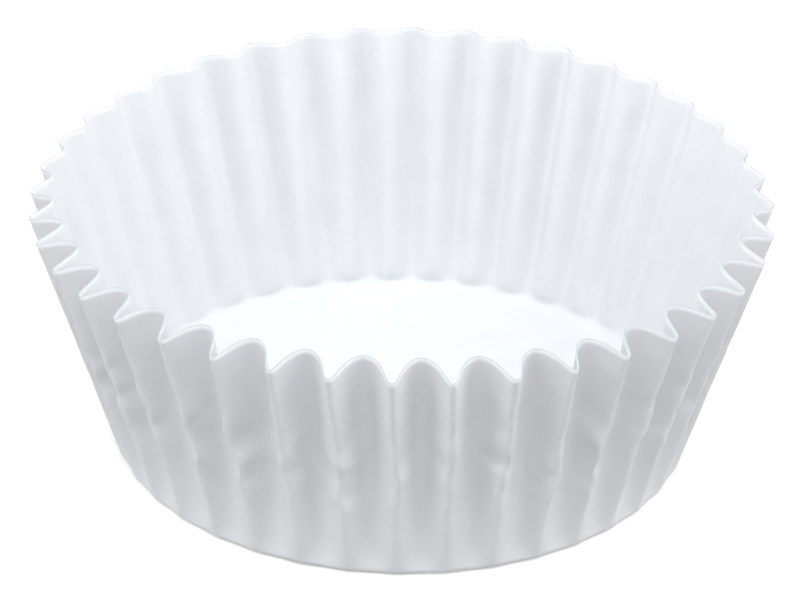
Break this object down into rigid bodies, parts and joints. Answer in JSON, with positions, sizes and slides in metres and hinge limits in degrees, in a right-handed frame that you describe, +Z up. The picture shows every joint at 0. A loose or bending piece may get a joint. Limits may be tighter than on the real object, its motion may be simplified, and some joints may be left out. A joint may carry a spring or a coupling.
{
  "type": "cupcake liner",
  "caption": "Pleated white paper baking cup: flat round base and a flared wall whose fine flutes deepen towards a wavy rim; it holds the batter of a small cake while it bakes.",
  "frame": {"origin": "centre of the underside of the flat base, which rests on the surface", "axes": "+Z up along the cup's axis, out of its mouth; +X and +Y point at ridges of the fluted wall"},
  "size_m": [0.0638, 0.0638, 0.0233],
  "materials": {
    "paper": "matte, bleached greaseproof paper"
  },
  "bodies": {
    "root": {"liner": "paper"}
  },
  "joints": []
}
